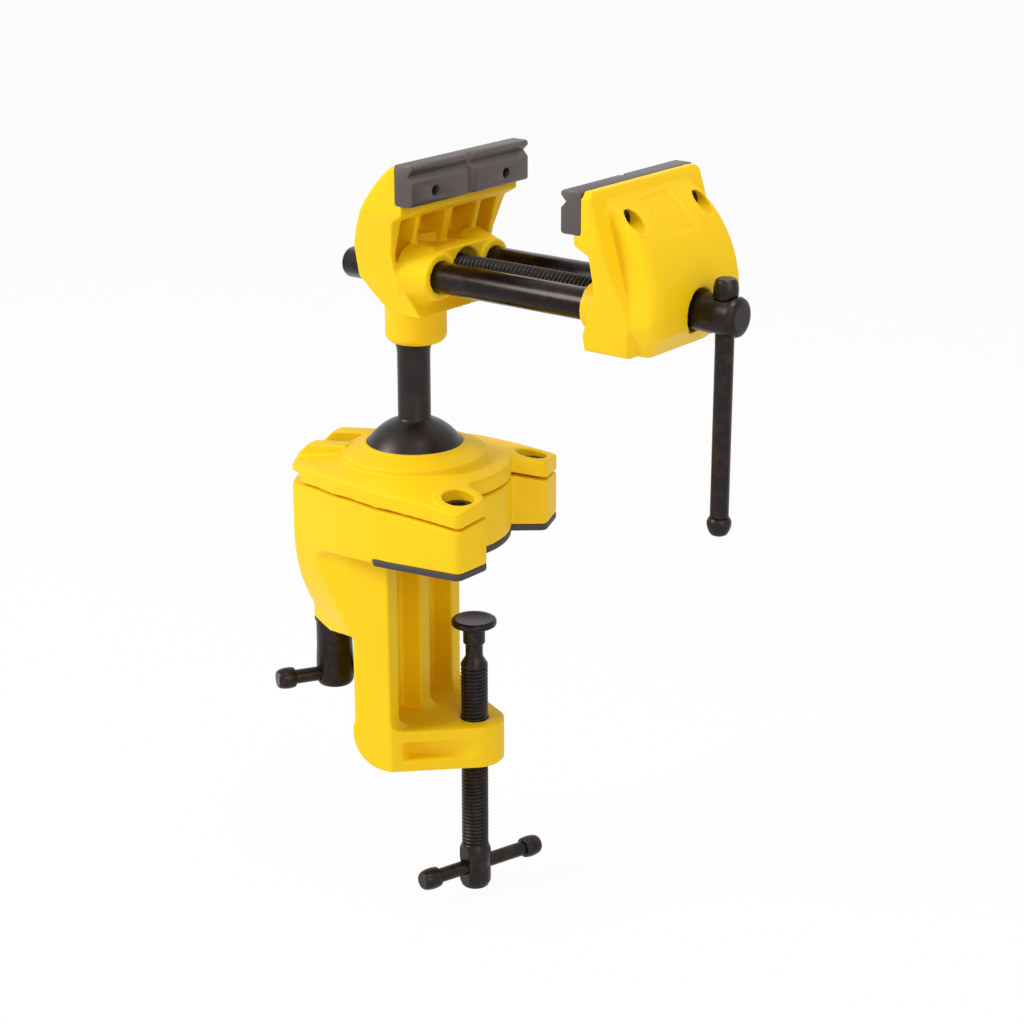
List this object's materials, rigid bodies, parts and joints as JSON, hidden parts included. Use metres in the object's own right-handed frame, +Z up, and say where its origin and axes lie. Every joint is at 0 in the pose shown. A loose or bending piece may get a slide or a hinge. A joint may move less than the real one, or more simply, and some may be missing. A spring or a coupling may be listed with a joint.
{
  "type": "bench vise",
  "caption": "Clamp-on bench vise whose jaws turn and tilt on a ball joint, with a screw-driven moving jaw on guide rods and sliding bar handles.",
  "frame": {"origin": "on the bench face of the pad under the clamp frame's block, on the clamp screw's axis", "axes": "+Z up out of the bench, +X out of the clamp throat along the frame's plane of symmetry, +Y to the frame's left when looking along +X"},
  "size_m": [0.2225, 0.1047, 0.3317],
  "materials": {
    "yellow_casting": "satin",
    "dark_jaw_steel": "satin",
    "black_oxide_steel": "satin",
    "satin_dark_steel": "satin",
    "nut_steel": "satin",
    "seat_nylon": "matte",
    "pad_rubber": "matte"
  },
  "bodies": {
    "base": {"clamp_frame": "yellow_casting", "clamp_plate": "yellow_casting", "bench_pad": "pad_rubber", "plate_screws": "black_oxide_steel", "lock_bolt": "black_oxide_steel", "lock_washer": "black_oxide_steel"},
    "seat": {"ball_seat": "seat_nylon"},
    "post": {"ball_post": "satin_dark_steel"},
    "head": {"fixed_jaw": "yellow_casting", "fixed_jaw_plate": "dark_jaw_steel", "fixed_plate_screws": "black_oxide_steel", "jaw_nut": "nut_steel", "post_set_screw": "black_oxide_steel"},
    "slider": {"moving_jaw": "yellow_casting", "moving_jaw_plate": "dark_jaw_steel", "moving_plate_screws": "black_oxide_steel", "left_guide_rod": "black_oxide_steel", "right_guide_rod": "black_oxide_steel", "rod_screws": "black_oxide_steel"},
    "screw": {"main_screw": "black_oxide_steel", "hub_washer": "black_oxide_steel", "screw_clip": "black_oxide_steel"},
    "main_handle": {"main_handle_bar": "black_oxide_steel", "main_handle_knobs": "black_oxide_steel"},
    "lock": {"lock_nut": "black_oxide_steel"},
    "lock_handle": {"lock_handle_bar": "black_oxide_steel", "lock_handle_knobs": "black_oxide_steel"},
    "pad": {"swivel_pad": "satin_dark_steel"},
    "clamp": {"clamp_screw": "black_oxide_steel"},
    "clamp_handle": {"clamp_handle_bar": "black_oxide_steel", "clamp_handle_knobs": "black_oxide_steel"}
  },
  "joints": [
    {"name": "seat_swivel", "type": "hinge", "parent": "base", "child": "seat", "pos_m": [-0.028, 0, 0.0287], "axis": [0, 0, 1], "continuous": true},
    {"name": "post_tilt", "type": "hinge", "parent": "seat", "child": "post", "pos_m": [-0.028, 0, 0.0287], "axis": [0, 1, 0], "range_deg": [-38, 38]},
    {"name": "head_spin", "type": "hinge", "parent": "post", "child": "head", "pos_m": [-0.028, 0, 0.0287], "axis": [0, 0, 1], "continuous": true},
    {"name": "jaw_slide", "type": "slide", "parent": "head", "child": "slider", "axis": [0.9833, -0.1822, 0], "range_m": [-0.0718, 0.003]},
    {"name": "main_screw_turn", "type": "hinge", "parent": "slider", "child": "screw", "pos_m": [0.11949, -0.02734, 0.1201], "axis": [0.9833, -0.1822, 0], "range_deg": [-12925, 541]},
    {"name": "main_handle_slide", "type": "slide", "parent": "screw", "child": "main_handle", "axis": [0, 0, 1], "range_m": [0, 0.073]},
    {"name": "lock_turn", "type": "hinge", "parent": "base", "child": "lock", "pos_m": [-0.0707, 0, -0.06], "axis": [0, 0, 1], "range_deg": [-360, 0]},
    {"name": "lock_handle_slide", "type": "slide", "parent": "lock", "child": "lock_handle", "axis": [-0.66, -0.7513, 0], "range_m": [-0.0105, 0.0105]},
    {"name": "pad_slide", "type": "slide", "parent": "base", "child": "pad", "axis": [0, 0, 1], "range_m": [-0.03, 0.0347]},
    {"name": "clamp_turn", "type": "hinge", "parent": "pad", "child": "clamp", "pos_m": [0, 0, -0.1], "axis": [0, 0, 1], "range_deg": [-6173, 7140]},
    {"name": "clamp_handle_slide", "type": "slide", "parent": "clamp", "child": "clamp_handle", "axis": [0.4602, 0.8878, 0], "range_m": [-0.019, 0.013]}
  ],
  "couplings": [
    {"joint": "main_screw_turn", "follows": "jaw_slide", "rad_per_m": 3141.6},
    {"joint": "clamp_turn", "follows": "pad_slide", "rad_per_m": 3590.4}
  ]
}
